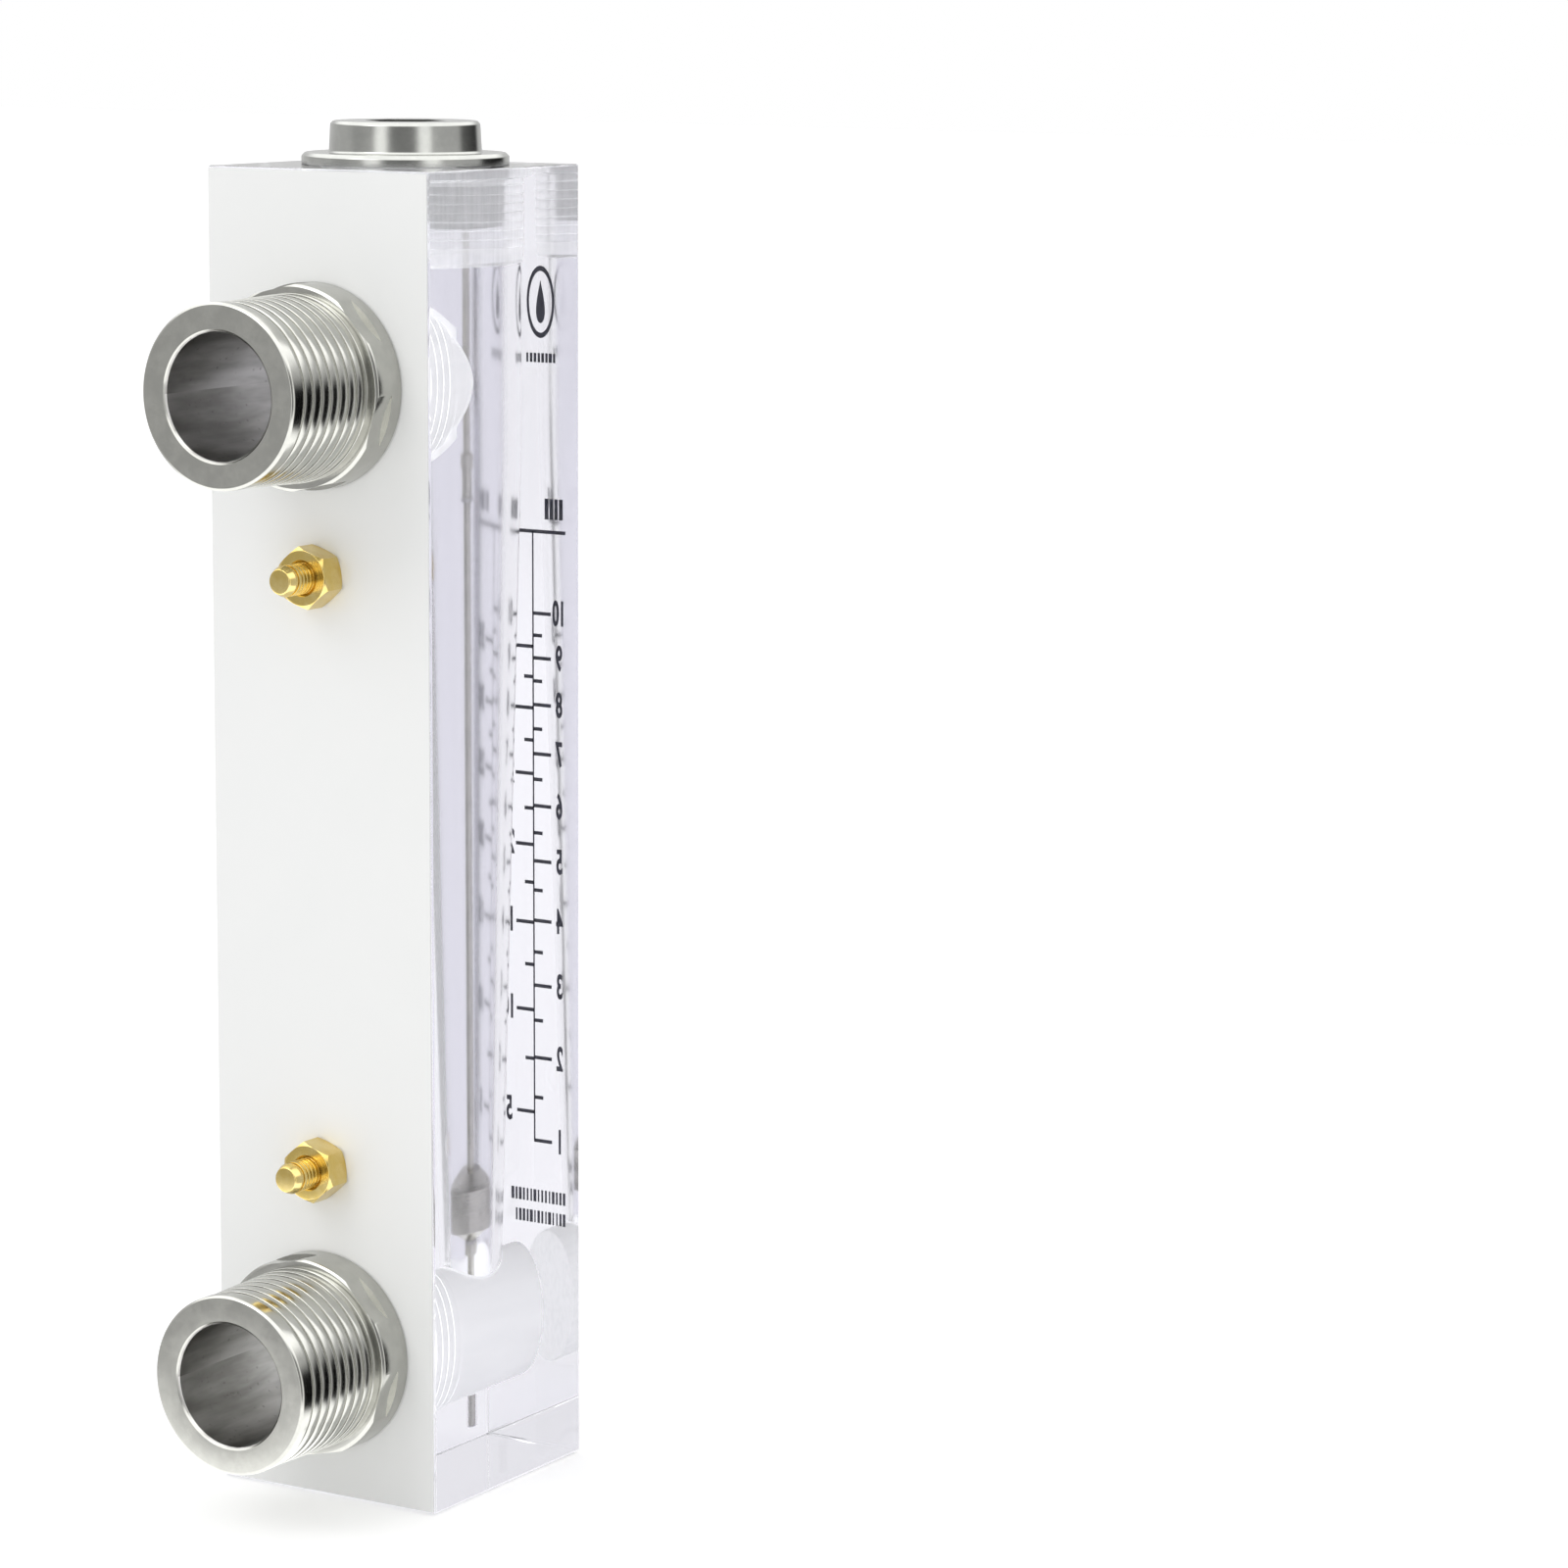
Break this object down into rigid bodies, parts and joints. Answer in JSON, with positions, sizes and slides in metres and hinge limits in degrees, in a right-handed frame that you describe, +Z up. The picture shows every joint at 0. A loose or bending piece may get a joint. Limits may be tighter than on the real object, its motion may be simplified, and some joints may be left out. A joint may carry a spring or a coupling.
{
  "type": "rotameter",
  "caption": "Clear acrylic block rotameter with a tapered bore, a steel float on a guide rod, back pipe ports, a top plug and brass panel studs.",
  "frame": {"origin": "centre of the flat bottom of the clear block with its back sheet", "axes": "+Z up along the flow bore, +Y towards the scale face, -Y out of the back ports, +X to the reader's left as the scale is read"},
  "size_m": [0.045, 0.0725, 0.2341],
  "materials": {
    "clear_acrylic": "clear acrylic, polished outside, drill-frosted in the ports",
    "white_film": "opaque white sheet, smooth",
    "turned_steel": "turned stainless steel, satin",
    "rod_steel": "drawn stainless steel",
    "float_steel": "fine turned stainless steel",
    "seal_rubber": "smooth seal rubber",
    "white_bumper": "white low-friction plastic",
    "stud_brass": "bright turned brass"
  },
  "bodies": {
    "meter": {"meter_block": "clear_acrylic", "back_film": "white_film", "top_plug": "turned_steel", "plug_o_ring": "seal_rubber", "guide_rod": "rod_steel", "upper_float_stop": "rod_steel", "upper_bumper": "white_bumper", "lower_float_stop": "rod_steel", "lower_bumper": "white_bumper", "outlet_fitting": "turned_steel", "inlet_fitting": "turned_steel", "outlet_o_ring": "seal_rubber", "inlet_o_ring": "seal_rubber", "upper_stud": "stud_brass", "lower_stud": "stud_brass", "upper_stud_nut": "stud_brass", "lower_stud_nut": "stud_brass"},
    "float": {"float": "float_steel"}
  },
  "joints": [
    {"name": "float_slide", "type": "slide", "parent": "meter", "child": "float", "axis": [0, 0, 1], "range_m": [0, 0.1164]}
  ]
}
